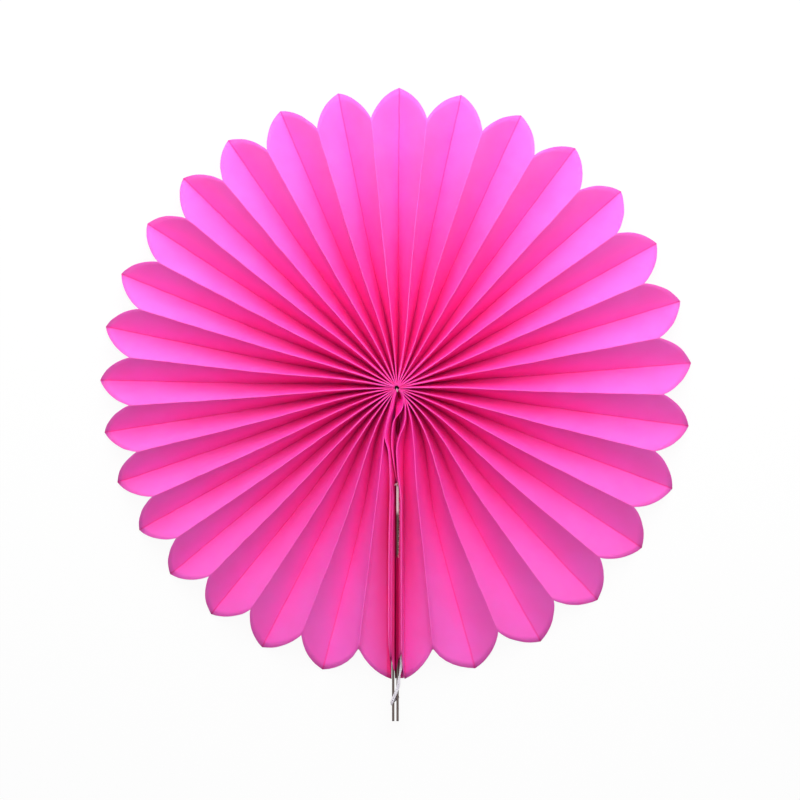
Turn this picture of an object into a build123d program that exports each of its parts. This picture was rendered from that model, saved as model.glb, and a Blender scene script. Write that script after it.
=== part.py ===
from build123d import *
from math import cos, degrees, hypot, pi, radians, sin, sqrt
import os

# Paper fan opened to a full circle, lying on its back. The origin is the hub centre on the back
# plane, +Z is the fan's own axis towards the viewer, and the handle points along -Y.
# Angles run clockwise from +Y, as a viewer in front of the fan sees them. Millimetres.

# Pleated paper
tip_radius = 150.0
notch_depth = 15.0
hub_radius = 3.1
pleat_depth = 19.2
paper_thickness = 0.25
petal_count = 30
rim_bulge = 0.08
stock_margin = 4.5
flattest_ridge = 1.0

# The fan was opened by hand, so its petals are spread unevenly: mean spread, then waves in degrees
first_valley_angle = 175.04
fan_spread = 356.87
spread_sine_waves = (2.71, 1.78, 0.46)
spread_cosine_waves = (5.25, 0.73, 0.19)

# Two board sticks glued inside the two end pleats
stick_thickness = 1.15
stick_depth = 8.0
stick_start = 50.0
handle_reach = 20.0
stick_lift = 2.2
stick_corner = 1.0
stick_gap = 1.05
seam_offset = -0.33
glue_gap = 0.1

# Seam pleats that close over the sticks
seam_crest_height = 19.0
seam_notch_depth = 17.0
seam_bulge = 0.1
seam_fold_clearance = 0.35
left_valley_x = -2.3
left_crest_x = -2.75
right_crest_x = 2.6
right_valley_x = 4.4
sheet_end_lift = 0.6
hub_pitch_at_seam = 0.29

# Torn slit in the right wrap, over the front edge of the right stick
tear_setback = 1.0
tear_length = 36.0
tear_width = 0.9
tear_tooth = 0.35
tear_teeth = 9
tear_shallowest = 0.4
tear_tooth_turn = 2.4
tear_tooth_slant = 0.3

# Cotton string tied round the sticks, and the thread ring in the hub
string_diameter = 1.8
string_gap = 0.2
string_bend_radius = 1.4
string_knot_width = 3.4
string_reach_inside = 24.0
string_rim_gap = 1.9
string_cross_run = 9.5
thread_diameter = 0.9
thread_gap = 0.1
thread_height = 10.0
thread_sides = 8

# The folds bend a little where they cross rings about the hub. The rings lie closer together towards
# the hub, where the pleats stand up steeply, and one lies where the sticks start.
inner_steps = 4
outer_steps = 3
stock_radius = tip_radius + stock_margin
inner_growth = (stick_start / hub_radius) ** (1 / inner_steps)
outer_stride = (stock_radius - stick_start) / outer_steps
rings = [hub_radius * inner_growth**step for step in range(inner_steps)]
rings += [stick_start + outer_stride * step for step in range(outer_steps + 1)]
ring_count = len(rings)

notch_radius = tip_radius - notch_depth
seam_notch_radius = tip_radius - seam_notch_depth
stick_length = tip_radius + handle_reach - stick_start
tear_start = stick_start + tear_setback
left_inner_face = seam_offset - stick_gap / 2
right_inner_face = seam_offset + stick_gap / 2
layer_inset = glue_gap + paper_thickness / 2
stick_top = stick_lift + stick_depth
fold_over_height = stick_top + seam_fold_clearance
cutter_margin = 1.0

# Where the seam's folds stand beside each other at the hub, from the middle outwards
layer_at_hub = hub_pitch_at_seam * 2 / 3
crest_at_hub = layer_at_hub + hub_pitch_at_seam
valley_at_hub = crest_at_hub + hub_pitch_at_seam


def rim_angle(share):
    """Angle of a fold at the rim, for its share of the way round from the first valley."""
    angle = first_valley_angle + fan_spread * share
    for order, height in enumerate(spread_sine_waves, start=1):
        angle += height * sin(2 * pi * order * share)
    for order, height in enumerate(spread_cosine_waves, start=1):
        angle += height * cos(2 * pi * order * share)
    return angle


def hub_angle(share):
    """Angle of a fold at the hub, where the packed pleats share the circle evenly."""
    seam_half_angle = degrees(valley_at_hub / hub_radius)
    return 180 + seam_half_angle + (360 - 2 * seam_half_angle) * share


def round_fold(share):
    """Angle of an ordinary fold on each ring."""
    swing = hub_angle(share) - rim_angle(share)
    return [rim_angle(share) + swing * hub_radius / ring for ring in rings]


def seam_fold(hub_x, stick_x, turn=0):
    """Angle on each ring of a fold that runs beside the sticks and closes up to the hub."""
    angles = []
    for ring in rings:
        open_share = max(0, (stick_start - ring) / (stick_start - hub_radius)) ** 2
        x = stick_x + (hub_x - stick_x) * open_share
        angles.append(180 + turn - degrees(x / ring))
    return angles


class Fold:
    """One fold line, as its angle and height on each ring."""

    def __init__(self, kind, angles, heights):
        self.kind = kind
        self.places = [(radians(angle) * ring, z) for angle, ring, z in zip(angles, rings, heights)]


def level(height):
    return [height] * ring_count


def ridge_heights(before, after):
    """Height of a ridge whose two panels keep the full pleat depth, down to an almost flat one."""
    heights = []
    for index, ring in enumerate(rings):
        half_gap = radians(after[index] - before[index]) * ring / 2
        heights.append(sqrt(max(pleat_depth**2 - half_gap**2, flattest_ridge**2)))
    return heights


def fold_lines():
    """All folds of the sheet in order, from its left end over the top to its right end."""
    left_layer = seam_fold(-layer_at_hub, left_inner_face + layer_inset)
    right_layer = seam_fold(layer_at_hub, right_inner_face - layer_inset, turn=360)
    left_crest = seam_fold(-crest_at_hub, left_crest_x)
    right_crest = seam_fold(crest_at_hub, right_crest_x, turn=360)
    left_valley = seam_fold(-valley_at_hub, left_valley_x)
    right_valley = seam_fold(valley_at_hub, right_valley_x, turn=360)

    valleys = [left_valley]
    valleys += [round_fold(index / petal_count) for index in range(1, petal_count)]
    valleys += [right_valley]

    folds = [
        Fold("end", left_layer, level(sheet_end_lift)),
        Fold("bend", left_layer, level(fold_over_height)),
        Fold("mountain", left_crest, level(seam_crest_height)),
    ]
    for index in range(petal_count):
        ridge = round_fold((index + 0.5) / petal_count)
        heights = ridge_heights(valleys[index], valleys[index + 1])
        folds.append(Fold("valley", valleys[index], level(0)))
        folds.append(Fold("mountain", ridge, heights))
    folds += [
        Fold("valley", valleys[petal_count], level(0)),
        Fold("mountain", right_crest, level(seam_crest_height)),
        Fold("bend", right_layer, level(fold_over_height)),
        Fold("end", right_layer, level(sheet_end_lift)),
    ]
    return folds


def unit_normal(start, end):
    """Unit vector to the left of the way from start to end, which is the front of the sheet."""
    length = hypot(end[0] - start[0], end[1] - start[1])
    return (-(end[1] - start[1]) / length, (end[0] - start[0]) / length)


def bend_corners(before, here, after):
    """Front and back corner of a soft bend, mitred at half the thickness."""
    first = unit_normal(before, here)
    second = unit_normal(here, after)
    reach = paper_thickness / 2 / (1 + first[0] * second[0] + first[1] * second[1])
    shift = ((first[0] + second[0]) * reach, (first[1] + second[1]) * reach)
    front = (here[0] + shift[0], here[1] + shift[1])
    back = (here[0] - shift[0], here[1] - shift[1])
    return [front], [back]


def crease_corners(before, here, after, side):
    """Two outer corners and one inner corner of a sharp crease. Side is +1 on a ridge."""
    slope_before = (here[0] - before[0]) / abs(here[1] - before[1])
    slope_after = (after[0] - here[0]) / abs(here[1] - after[1])
    width_before = paper_thickness * sqrt(1 + slope_before**2)
    width_after = paper_thickness * sqrt(1 + slope_after**2)
    drop = (width_before + width_after) / 2 / (slope_before + slope_after)
    outer = [(here[0] - width_before / 2, here[1]), (here[0] + width_after / 2, here[1])]
    inner = [(here[0] - slope_before * drop + width_before / 2, here[1] - side * drop)]
    return (outer, inner) if side > 0 else (inner, outer)


def end_corners(start, end, here):
    """Square cut end of the sheet."""
    normal = unit_normal(start, end)
    half = paper_thickness / 2
    front = (here[0] + normal[0] * half, here[1] + normal[1] * half)
    back = (here[0] - normal[0] * half, here[1] - normal[1] * half)
    return [front], [back]


def ring_corners(folds, index):
    """Front and back corners of every fold on one ring."""
    places = [fold.places[index] for fold in folds]
    corners = []
    for number, fold in enumerate(folds):
        here = places[number]
        if number == 0:
            corners.append(end_corners(here, places[1], here))
        elif number == len(folds) - 1:
            corners.append(end_corners(places[-2], here, here))
        elif fold.kind == "bend":
            corners.append(bend_corners(places[number - 1], here, places[number + 1]))
        else:
            side = 1 if fold.kind == "mountain" else -1
            corners.append(crease_corners(places[number - 1], here, places[number + 1], side))
    return corners


def unroll(place, ring):
    """Point in space of a corner given by its arc length and height on a ring."""
    angle = place[0] / ring
    return Vector(ring * sin(angle), ring * cos(angle), place[1])


def skin_points(rows, side):
    """Points along each corner line of one side of the sheet, grouped by fold."""
    grouped = []
    for number in range(len(rows[0])):
        lines = []
        for corner in range(len(rows[0][number][side])):
            lines.append([unroll(row[number][side][corner], ring) for row, ring in zip(rows, rings)])
        grouped.append(lines)
    return grouped


def facet(*corners):
    return Face(Wire.make_polygon(corners))


def strip_facets(first, second):
    """Two flat facets from each ring to the next, which share an edge from low inside to high outside.

    Front and back of a panel are split the same way, so its thickness stays.
    """
    faces = []
    for ring in range(ring_count - 1):
        low, high = (first, second) if first[ring].Z < second[ring].Z else (second, first)
        faces.append(facet(low[ring], high[ring], high[ring + 1]))
        faces.append(facet(low[ring], high[ring + 1], low[ring + 1]))
    return faces


def cap_facets(front, back, ring):
    """Facets that close the sheet's cut end on one ring."""
    faces = []
    for number in range(len(front)):
        corners = [line[ring] for line in front[number] + back[number]]
        if len(corners) == 3:
            faces.append(facet(*corners))
        if number + 1 < len(front):
            upper = (front[number][-1][ring], front[number + 1][0][ring])
            lower = (back[number][-1][ring], back[number + 1][0][ring])
            faces.append(facet(upper[0], upper[1], lower[1]))
            faces.append(facet(upper[0], lower[1], lower[0]))
    return faces


def pleated_stock():
    """The pleated sheet before its rim is cut."""
    folds = fold_lines()
    rows = [ring_corners(folds, index) for index in range(ring_count)]
    front = skin_points(rows, 0)
    back = skin_points(rows, 1)
    front_lines = [line for fold in front for line in fold]
    back_lines = [line for fold in back for line in fold]
    loop = front_lines + back_lines[::-1]
    faces = cap_facets(front, back, 0) + cap_facets(front, back, ring_count - 1)
    for first, second in zip(loop, loop[1:] + loop[:1]):
        faces += strip_facets(first, second)
    return Solid(Shell(faces))


def rim_point(angle, radius):
    return Vector(radius * sin(radians(angle)), radius * cos(radians(angle)), 0)


def bowed_edge(start, end, bulge, outward):
    """Arc from start to end that stands off its chord by a share of its length."""
    chord = end - start
    middle = (start + end) / 2 + outward.normalized() * (chord.length * bulge)
    return Edge.make_three_point_arc(start, middle, end)


def petal_prism():
    """Solid inside the scalloped rim, which one curved cut through the folded stack makes."""
    left_tip = 180 - degrees(left_valley_x / tip_radius)
    right_tip = 540 - degrees(right_valley_x / tip_radius)
    tips = [left_tip] + [rim_angle(index / petal_count) for index in range(1, petal_count)] + [right_tip]
    edges = []
    for index in range(petal_count):
        notch = rim_angle((index + 0.5) / petal_count)
        corner = rim_point(notch, notch_radius)
        for tip in (tips[index], tips[index + 1]):
            point = rim_point(tip, tip_radius)
            along = corner - point
            outward = Vector(along.Y, -along.X, 0)
            if outward.dot(point) < 0:
                outward = -outward
            edges.append(bowed_edge(point, corner, rim_bulge, outward))
    seam_middle = (left_tip + 360 + right_tip) / 2
    ends = [rim_point(right_tip, tip_radius), rim_point(left_tip, tip_radius)]
    edges.append(Edge.make_three_point_arc(ends[0], rim_point(seam_middle, tip_radius), ends[1]))
    outline = Face(Wire(edges))
    return extrude(Pos(0, 0, -cutter_margin) * outline, amount=pleat_depth + 3 * cutter_margin, dir=(0, 0, 1))


def seam_trim():
    """Same curved cut through the seam pleats, which stand on edge beside the sticks."""
    tip = Vector(0, -tip_radius, 0)
    crest = Vector(0, -seam_notch_radius, seam_crest_height)
    arc = bowed_edge(tip, crest, seam_bulge, Vector(0, -1, 1))
    top = pleat_depth + 2 * cutter_margin
    below = Vector(0, -tip_radius, -cutter_margin)
    above = Vector(0, -seam_notch_radius, top)
    far_above = Vector(0, -stock_radius - cutter_margin, top)
    far_below = Vector(0, -stock_radius - cutter_margin, -cutter_margin)
    rest = Wire.make_polygon([crest, above, far_above, far_below, below, tip], close=False)
    region = Face(Wire([arc] + rest.edges()))
    width = right_valley_x - left_crest_x + 2 * cutter_margin
    return extrude(Pos(left_crest_x - cutter_margin, 0, 0) * region, amount=width, dir=(1, 0, 0))


def tear_cutter():
    """Ragged slit over the right stick's front edge."""
    left_edge = right_inner_face - layer_inset + paper_thickness
    right_edge = left_edge + tear_width
    step = tear_length / tear_teeth
    ragged = [Vector(left_edge, -tear_start - tear_length, 0)]
    for tooth in range(tear_teeth):
        bite = tear_tooth * (tear_shallowest + (1 - tear_shallowest) * sin(tear_tooth_turn * tooth) ** 2)
        y = -tear_start - tear_length + step * (tooth + 0.5)
        ragged.append(Vector(right_edge + bite, y - step * tear_tooth_slant, 0))
        ragged.append(Vector(right_edge, y + step * tear_tooth_slant, 0))
    ragged.append(Vector(left_edge, -tear_start, 0))
    outline = Face(Wire.make_polygon(ragged))
    return extrude(Pos(0, 0, stick_top) * outline, amount=seam_crest_height, dir=(0, 0, 1))


def pleated_paper():
    return (pleated_stock() & petal_prism()) - seam_trim() - tear_cutter()


def stick(low_x):
    """Flat board strip on edge, with the corners of its handle end rounded by the die."""
    back_y = -stick_start - stick_length
    with BuildPart() as board:
        middle = (low_x + stick_thickness / 2, (back_y - stick_start) / 2, stick_lift + stick_depth / 2)
        with Locations(middle):
            Box(stick_thickness, stick_length, stick_depth)
        outer = board.edges().filter_by(Axis.X).group_by(Axis.Y)[0]
        fillet(outer, stick_corner)
    return board.part


def tie_string():
    """String that comes out of the right pleat, crosses the sticks and ends in a knot behind them."""
    stand_off = string_diameter / 2 + string_gap
    left_x = left_inner_face - stick_thickness - stand_off
    front_z = stick_top + stand_off
    back_z = stick_lift - stand_off
    pleat_x = (right_crest_x + right_inner_face) / 2 + string_diameter / 4
    knot_x = seam_offset + string_knot_width / 4
    cross_start = tip_radius + string_rim_gap
    cross_end = cross_start + string_cross_run
    route = [
        Vector(pleat_x, string_reach_inside - tip_radius, front_z + string_diameter / 2),
        Vector(right_inner_face + stick_thickness, -cross_start, front_z),
        Vector(left_x, -cross_end, front_z),
        Vector(left_x, -cross_end - string_diameter, back_z),
        Vector(knot_x, -cross_end, back_z),
    ]
    radii = [6.0, string_bend_radius, string_bend_radius]
    path = FilletPolyline(*route, radius=radii)
    print("string length", round(path.length, 1), "bend radii", radii)
    start_plane = Plane(path @ 0, z_dir=path % 0)
    tube = sweep(start_plane * Circle(string_diameter / 2), path=path)
    section_area = pi * string_diameter**2 / 4
    print("string volume over section times length", tube.volume / (section_area * path.length))
    knot_height = string_diameter + string_gap / 2
    knot = Cylinder(string_knot_width / 2, knot_height)
    knot = chamfer(knot.edges().filter_by(GeomType.CIRCLE), knot_height / 4)
    return tube + Pos(*route[-1]) * knot


def hub_thread():
    """Thread ring that lies against the gathered inner ends of the pleats."""
    ring_radius = hub_radius - thread_gap - thread_diameter / 2
    section = RegularPolygon(thread_diameter / 2, thread_sides)
    return revolve(Plane.XZ * Pos(ring_radius, thread_height) * section, Axis.Z)


parts = {
    "pleated_paper": pleated_paper(),
    "left_stick": stick(left_inner_face - stick_thickness),
    "right_stick": stick(right_inner_face),
    "tie_string": tie_string(),
    "hub_thread": hub_thread(),
}

os.makedirs("parts", exist_ok=True)
for name, shape in parts.items():
    export_step(shape, f"parts/{name}.step")
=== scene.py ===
"""Paper fan rosette of hot-pink paper, opened to a full circle, on a plain white floor."""

from math import cos, radians, sin, sqrt, tau

import bmesh
import bpy
import numpy as np
from mathutils import Euler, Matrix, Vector
from mathutils.noise import noise


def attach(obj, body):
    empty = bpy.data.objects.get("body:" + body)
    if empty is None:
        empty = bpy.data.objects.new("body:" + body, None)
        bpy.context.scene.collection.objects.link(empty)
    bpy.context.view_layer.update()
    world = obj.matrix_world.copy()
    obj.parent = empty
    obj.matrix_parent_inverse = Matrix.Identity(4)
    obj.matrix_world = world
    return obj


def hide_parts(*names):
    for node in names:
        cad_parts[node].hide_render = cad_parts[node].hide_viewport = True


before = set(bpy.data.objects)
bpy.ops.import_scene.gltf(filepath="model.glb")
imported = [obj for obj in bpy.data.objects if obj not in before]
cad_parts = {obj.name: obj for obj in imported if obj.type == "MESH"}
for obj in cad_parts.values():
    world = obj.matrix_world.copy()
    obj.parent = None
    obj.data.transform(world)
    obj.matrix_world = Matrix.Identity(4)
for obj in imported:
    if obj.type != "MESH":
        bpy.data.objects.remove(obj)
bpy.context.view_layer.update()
mm = 0.001

# The pleated paper: one sheet of dyed craft paper, folded back and forth into 30 petals. Back folds end
# in the petals' tips, front folds in the notches between them. Every petal follows the same rule, apart
# from those at the seam, so the sheet is grown from a grid of fold number by way out from the hub.
petals = 30
tip_radius = 150 * mm
pleat_depth = 19.2 * mm
open_hub = 1.1 * mm
hub_aside = 0.4 * mm
hub_down = 1.15 * mm
notch_drop = 15 * mm
rim_curve = 36.5 * mm
rim_lean = radians(19.0)
paper_thickness = 0.13 * mm
crest_round = 0.2 * mm
length_steps = 52
panel_steps = 14
outward_growth = 1.3
crest_growth = 2.1
first_fold = 2
last_fold = 2 * petals - 2


class Field:
    """A number that the tree works out at each point, so that formulas read as plain sums."""

    def __init__(self, tree, socket):
        self.tree = tree
        self.socket = socket

    def calc(self, operation, *others):
        node = self.tree.nodes.new("ShaderNodeMath")
        node.operation = operation
        for slot, value in zip(node.inputs, (self, *others)):
            if isinstance(value, Field):
                self.tree.links.new(value.socket, slot)
            else:
                slot.default_value = value
        return Field(self.tree, node.outputs[0])

    def __add__(self, other):
        return self.calc("ADD", other)

    def __sub__(self, other):
        return self.calc("SUBTRACT", other)

    def __mul__(self, other):
        return self.calc("MULTIPLY", other)

    def __truediv__(self, other):
        return self.calc("DIVIDE", other)

    def __pow__(self, other):
        return self.calc("POWER", other)


def add_node(tree, kind, **sockets):
    node = tree.nodes.new(kind)
    for name, value in sockets.items():
        slot = node.inputs[name.replace("_", " ")]
        if isinstance(value, Field):
            tree.links.new(value.socket, slot)
        elif isinstance(value, bpy.types.NodeSocket):
            tree.links.new(value, slot)
        else:
            slot.default_value = value
    return node


sheet_tree = bpy.data.node_groups.new("pleated sheet", "GeometryNodeTree")
sheet_sizes = {
    "Petals": petals,
    "Tip radius": tip_radius,
    "Hub radius": open_hub,
    "Hub aside": hub_aside,
    "Hub down": hub_down,
    "Pleat depth": pleat_depth,
    "Rim curve radius": rim_curve,
    "Rim lean": rim_lean,
    "Crest rounding": crest_round,
    "Crest spread": 1.1,
    "First fold": first_fold,
    "Last fold": last_fold,
    "First valley angle": radians(175.04),
    "Fan spread": radians(356.87),
    "Sine wave 1": radians(2.71),
    "Sine wave 2": radians(1.78),
    "Sine wave 3": radians(0.46),
    "Cosine wave 1": radians(5.25),
    "Cosine wave 2": radians(0.73),
    "Cosine wave 3": radians(0.19),
    "Seam push left": radians(12.5),
    "Seam push right": radians(24.0),
    "Top twist": radians(3.8),
    "Push reach": 38 * mm,
    "Unevenness": radians(2.0),
    "Uneven reach": 34 * mm,
    "Height loss": 1.6 * mm,
    "Packed height": 15 * mm,
    "Packed reach": 19 * mm,
    "Waviness": 0.7 * mm,
    "Wave size": 38 * mm,
    "Seed": 7,
}
for label, value in sheet_sizes.items():
    socket = sheet_tree.interface.new_socket(label, in_out="INPUT", socket_type="NodeSocketFloat")
    socket.default_value = value
sheet_tree.interface.new_socket("Paper", in_out="INPUT", socket_type="NodeSocketMaterial")
sheet_tree.interface.new_socket("Geometry", in_out="OUTPUT", socket_type="NodeSocketGeometry")
sheet_in = sheet_tree.nodes.new("NodeGroupInput")
sheet_out = sheet_tree.nodes.new("NodeGroupOutput")
size = {label: Field(sheet_tree, sheet_in.outputs[label]) for label in sheet_sizes}

panels = last_fold - first_fold
grid = add_node(
    sheet_tree,
    "GeometryNodeMeshGrid",
    Size_X=1.0,
    Size_Y=1.0,
    Vertices_X=panels * panel_steps + 1,
    Vertices_Y=length_steps + 1,
)
place = sheet_tree.nodes.new("ShaderNodeSeparateXYZ")
sheet_tree.links.new(sheet_tree.nodes.new("GeometryNodeInputPosition").outputs[0], place.inputs[0])
along = Field(sheet_tree, place.outputs["X"]) + 0.5
outward = Field(sheet_tree, place.outputs["Y"]) + 0.5

rounding_guard = 0.0001
fold_number = size["First fold"] + along * (size["Last fold"] - size["First fold"])
panel = (fold_number + rounding_guard).calc("FLOOR").calc("MINIMUM", size["Last fold"] - 1)
odd = panel.calc("MODULO", 2.0)
share = (fold_number - panel).calc("MAXIMUM", 0.0).calc("MINIMUM", 1.0)
ridge = panel - odd + 1
valley = panel + odd
from_crest = (odd * 2 - 1) * share + 1 - odd
drop = from_crest ** crest_growth
climb = drop * -1 + 1


aside_throw = 0.0
packing_throw = 11.0
height_throw = 23.0
rounding_throw = 37.0
throw_stride = 3.7


def chance(number, throw):
    """Random share from 0 to 1 for one fold, the same all along it, and another for each throw."""
    node = sheet_tree.nodes.new("ShaderNodeTexWhiteNoise")
    node.noise_dimensions = "1D"
    sheet_tree.links.new((number * throw_stride + size["Seed"] + throw).socket, node.inputs["W"])
    return Field(sheet_tree, node.outputs["Value"])


def near_hub(radius, reach_name):
    """One at the hub, fading out over a distance."""
    return ((radius / size[reach_name]) ** 2 * -1).calc("EXPONENT")


def fold_angle(number, radius):
    """Direction of a fold: its even share, the hand-made waves, the push at the seam, and chance."""
    part = number / (size["Petals"] * 2)
    angle = size["First valley angle"] + size["Fan spread"] * part
    for order in (1, 2, 3):
        turn = part * (tau * order)
        angle = angle + size[f"Sine wave {order}"] * turn.calc("SINE")
        angle = angle + size[f"Cosine wave {order}"] * turn.calc("COSINE")
    from_middle = part * -2 + 1
    push = size["Seam push left"] + (size["Seam push right"] - size["Seam push left"]) * part
    opposite = from_middle * from_middle * -1 + 1
    shift = push * from_middle**3 + size["Top twist"] * opposite**3
    angle = angle + shift * near_hub(radius, "Push reach")
    either_way = chance(number, aside_throw) * 2 - 1
    return angle + either_way * size["Unevenness"] * near_hub(radius, "Uneven reach")


def rim_cut(climb):
    """Way out to the curved cut, for a point that far up the side of a pleat."""
    lean = size["Rim lean"].calc("SINE") + climb * size["Pleat depth"] / size["Rim curve radius"]
    flat = (lean * lean * -1 + 1).calc("SQRT")
    return size["Tip radius"] - size["Rim curve radius"] * (size["Rim lean"].calc("COSINE") - flat)


reach = outward**outward_growth
radius = size["Hub radius"] + (rim_cut(climb) - size["Hub radius"]) * reach
ridge_angle = fold_angle(ridge, radius)
before_angle = fold_angle(ridge - 1, radius)
after_angle = fold_angle(ridge + 1, radius)
valley_angle = before_angle + (after_angle - before_angle) * odd
half_gap = (after_angle - before_angle) * radius * 0.5
crest_height = (size["Pleat depth"] * size["Pleat depth"] - half_gap * half_gap).calc("SQRT")
lost = size["Height loss"] * chance(ridge, height_throw) * near_hub(radius, "Uneven reach")
crest_height = crest_height - lost
least_packed = 0.3
packed_share = chance(valley, packing_throw) * (1 - least_packed) + least_packed
packed = size["Packed height"] * packed_share * near_hub(radius, "Packed reach")

widest_rounding = 0.6
widening = size["Crest spread"] * chance(ridge, rounding_throw) ** 2 * near_hub(radius, "Uneven reach") + 1
round_radius = (size["Crest rounding"] * widening).calc("MINIMUM", half_gap * widest_rounding)
near = (drop * size["Pleat depth"]).calc("MINIMUM", round_radius)
rest = round_radius - near
bulge = (round_radius * round_radius - rest * rest).calc("SQRT") / half_gap
side = (drop * drop + bulge * bulge).calc("SQRT").calc("MINIMUM", 1.0)
angle = ridge_angle + (valley_angle - ridge_angle) * side

full_waves_from = 60 * mm
wave_climb = 12 * mm
wave_fade = (radius / full_waves_from).calc("MINIMUM", 1.0)
wave_place = sheet_tree.nodes.new("ShaderNodeCombineXYZ")
on_sheet = (radius * angle.calc("SINE"), radius * angle.calc("COSINE"), climb * wave_climb)
for axis, value in zip("XYZ", on_sheet):
    sheet_tree.links.new((value / size["Wave size"]).socket, wave_place.inputs[axis])
wave = add_node(sheet_tree, "ShaderNodeTexNoise", Vector=wave_place.outputs[0], Detail=1.0)
wave.noise_dimensions = "4D"
sheet_tree.links.new(size["Seed"].socket, wave.inputs["W"])
wave_parts = sheet_tree.nodes.new("ShaderNodeSeparateXYZ")
sheet_tree.links.new(wave.outputs["Color"], wave_parts.inputs[0])
wave_x, wave_y, wave_z = [
    (Field(sheet_tree, wave_parts.outputs[axis]) - 0.5) * size["Waviness"] * wave_fade for axis in "XYZ"
]

inward = (radius / size["Tip radius"]) * -1 + 1
point = sheet_tree.nodes.new("ShaderNodeCombineXYZ")
coordinates = (
    radius * angle.calc("SINE") + wave_x + size["Hub aside"] * inward,
    radius * angle.calc("COSINE") + wave_y - size["Hub down"] * inward,
    packed + (crest_height - packed + wave_z) * climb,
)
for axis, value in zip("XYZ", coordinates):
    sheet_tree.links.new(value.socket, point.inputs[axis])

geometry = grid.outputs["Mesh"]
for name, value in {"fold": climb, "number": fold_number, "reach": reach}.items():
    noted = add_node(
        sheet_tree, "GeometryNodeStoreNamedAttribute", Geometry=geometry, Name=name, Value=value
    )
    geometry = noted.outputs["Geometry"]
moved = add_node(sheet_tree, "GeometryNodeSetPosition", Geometry=geometry, Position=point.outputs[0])
real = add_node(sheet_tree, "GeometryNodeRealizeInstances", Geometry=moved.outputs[0])
finish = add_node(sheet_tree, "GeometryNodeSetMaterial", Geometry=real.outputs[0])
sheet_tree.links.new(sheet_in.outputs["Paper"], finish.inputs["Material"])
sheet_tree.links.new(finish.outputs[0], sheet_out.inputs["Geometry"])


def mix_colour(tree, factor, first, second):
    """Colour between two others, each a colour or a socket."""
    node = tree.nodes.new("ShaderNodeMix")
    node.data_type = "RGBA"
    tree.links.new(factor.socket, node.inputs[0])
    for slot, value in ((node.inputs[6], first), (node.inputs[7], second)):
        if isinstance(value, bpy.types.NodeSocket):
            tree.links.new(value, slot)
        else:
            slot.default_value = value
    return node.outputs[2]


def ramp(value, low, high, to_low=0.0, to_high=1.0):
    """Mask that goes smoothly from one value to another over a range."""
    node = value.tree.nodes.new("ShaderNodeMapRange")
    node.interpolation_type = "SMOOTHSTEP"
    value.tree.links.new(value.socket, node.inputs["Value"])
    limits = {"From Min": low, "From Max": high, "To Min": to_low, "To Max": to_high}
    for name, number in limits.items():
        node.inputs[name].default_value = number
    return Field(value.tree, node.outputs[0])


def fade(value, low, high, full=1.0):
    """Mask that is full up to the low end of a range and gone at its high end."""
    return ramp(value, low, high, full, 0.0)


def own_place(tree):
    """Place of the shaded point on its own piece, as three numbers in metres."""
    parts = tree.nodes.new("ShaderNodeSeparateXYZ")
    tree.links.new(tree.nodes.new("ShaderNodeTexCoord").outputs["Object"], parts.inputs[0])
    return [Field(tree, parts.outputs[axis]) for axis in "XYZ"]


def new_material(name, roughness, shine=0.25):
    material = bpy.data.materials.new(name)
    material.use_nodes = True
    tree = material.node_tree
    shader = tree.nodes["Principled BSDF"]
    shader.inputs["Roughness"].default_value = roughness
    shader.inputs["Specular IOR Level"].default_value = shine
    return material, tree, shader


grain_group = bpy.data.node_groups.new("fibre grain", "ShaderNodeTree")
for label, kind in (("Scale", "Float"), ("Detail", "Float"), ("Roughness", "Float"), ("Stretch", "Vector")):
    grain_group.interface.new_socket(label, in_out="INPUT", socket_type=f"NodeSocket{kind}")
grain_group.interface.new_socket("Grain", in_out="OUTPUT", socket_type="NodeSocketFloat")
grain_in = grain_group.nodes.new("NodeGroupInput")
grain_out = grain_group.nodes.new("NodeGroupOutput")
stretched = add_node(
    grain_group,
    "ShaderNodeMapping",
    Vector=grain_group.nodes.new("ShaderNodeTexCoord").outputs["Object"],
    Scale=grain_in.outputs["Stretch"],
)
cloudy = add_node(
    grain_group,
    "ShaderNodeTexNoise",
    Vector=stretched.outputs[0],
    Scale=grain_in.outputs["Scale"],
    Detail=grain_in.outputs["Detail"],
    Roughness=grain_in.outputs["Roughness"],
)
grain_group.links.new(cloudy.outputs["Fac"], grain_out.inputs["Grain"])


def grain(tree, scale, detail, roughness=0.5, stretch=(1.0, 1.0, 1.0)):
    """The grain with a material's own values. The scale is in repeats per metre."""
    node = tree.nodes.new("ShaderNodeGroup")
    node.node_tree = grain_group
    values = {"Scale": scale, "Detail": detail, "Roughness": roughness, "Stretch": stretch}
    for name, value in values.items():
        node.inputs[name].default_value = value
    return Field(tree, node.outputs["Grain"])


def bump(shader, height, strength, distance):
    node = height.tree.nodes.new("ShaderNodeBump")
    node.inputs["Strength"].default_value = strength
    node.inputs["Distance"].default_value = distance
    height.tree.links.new(height.socket, node.inputs["Height"])
    height.tree.links.new(node.outputs[0], shader.inputs["Normal"])


rim_pink = (1.0, 0.15, 0.63, 1)
hub_pink_painted_shade = (1.0, 0.027, 0.38, 1)
seam_shade_pink = (1.0, 0.05, 0.33, 1)
crest_highlight_and_wear_pink = (1.0, 0.16, 0.52, 1)
crease_shade_and_dye_pink = (0.98, 0.008, 0.20, 1)
painted_shade_red = (0.42, 0.004, 0.09, 1)
uneven_dye = 0.10
seam_shade_share = 0.8
wrap_middle = -0.6 * mm
crest_highlight_at_hub = 0.4
crest_highlight_at_rim = 0.10
crest_highlight_in_wrap = 0.7
crease_shade_at_hub = 0.3
crease_shade_at_rim = 0.45
deep_shade_middle = 0.3 * mm
deep_shade_spots = ((2.1, -5.0, 1.5, 2.2), (0.85, -20, 1.4, 6.5))

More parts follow.
